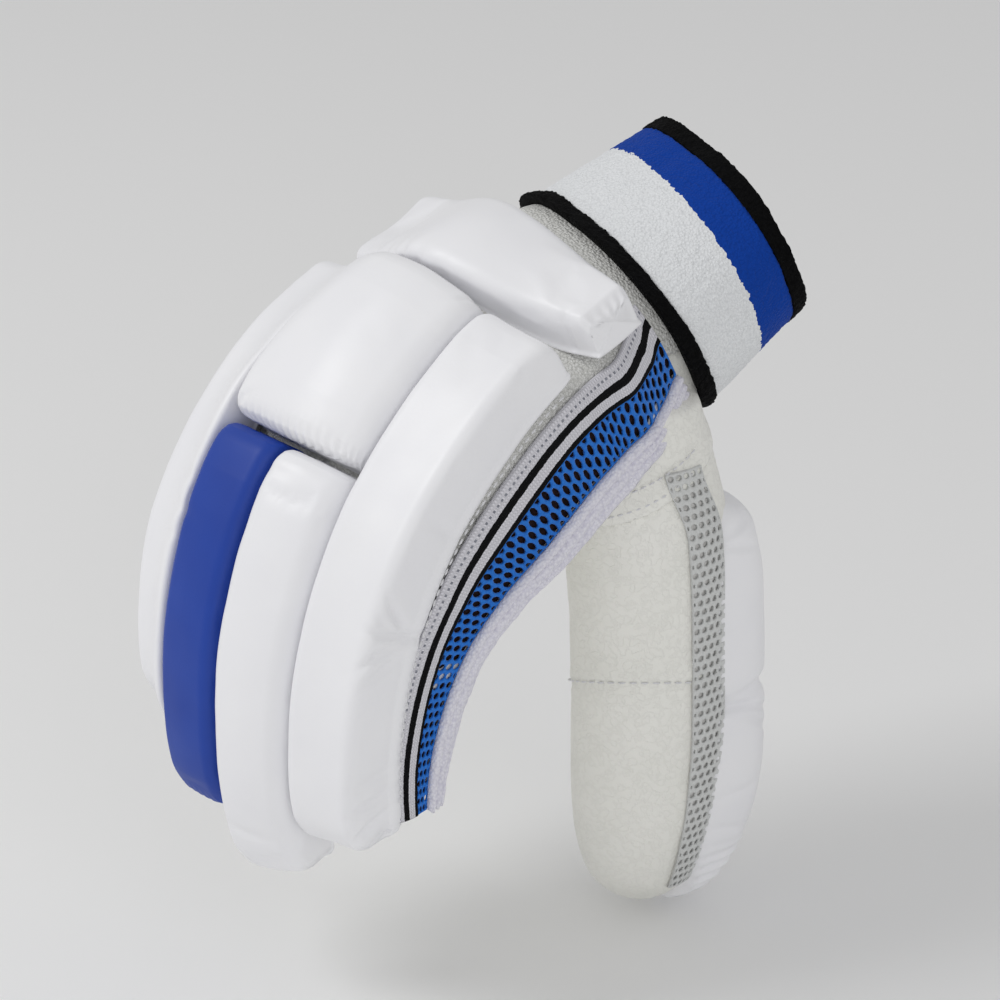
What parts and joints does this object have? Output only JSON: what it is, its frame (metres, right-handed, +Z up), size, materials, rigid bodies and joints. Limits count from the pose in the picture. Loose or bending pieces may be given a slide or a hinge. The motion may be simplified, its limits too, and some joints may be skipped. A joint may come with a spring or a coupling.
{
  "type": "cricket batting glove",
  "caption": "Padded batting glove in a bent, worn pose: foam rolls over fingers and wrist, leather palm, netted side, padded thumb and a ribbed cuff.",
  "frame": {"origin": "centre of the cuff's opening, where the hand goes in", "axes": "+X across the hand to the thumb side, +Y from the fingers back towards the forearm, +Z up; the fingertips point down"},
  "size_m": [0.1124, 0.1965, 0.2082],
  "materials": {
    "white_pu": "soft white polyurethane facing, low sheen",
    "blue_pu": "royal blue polyurethane facing, low sheen",
    "leather": "pale soft leather, fine grain",
    "pimpled_fabric": "pale pimpled backing fabric, matt",
    "striped_knit": "black and white striped ribbed knit",
    "blue_mesh": "bright blue open knit",
    "white_mesh": "pale open knit",
    "terry": "white looped towelling",
    "striped_towelling": "white towelling knit with a blue stripe",
    "black_knit": "black ribbed knit, matt"
  },
  "bodies": {
    "root": {"back_panel": "pimpled_fabric", "palm": "leather", "index_stall": "leather", "middle_stall": "leather", "ring_stall": "leather", "little_stall": "leather", "thumb_sleeve": "leather", "wrist_roll": "white_pu", "index_roll": "white_pu", "middle_roll": "white_pu", "ring_roll": "blue_pu", "little_roll": "white_pu", "centre_pad": "white_pu", "side_tape": "striped_knit", "side_mesh": "blue_mesh", "side_terry": "terry", "outer_gusset": "pimpled_fabric", "thumb_mesh": "white_mesh", "thumb_pad": "white_pu", "wristband_lower_edge": "black_knit", "wristband": "striped_towelling", "wristband_upper_edge": "black_knit"}
  },
  "joints": []
}
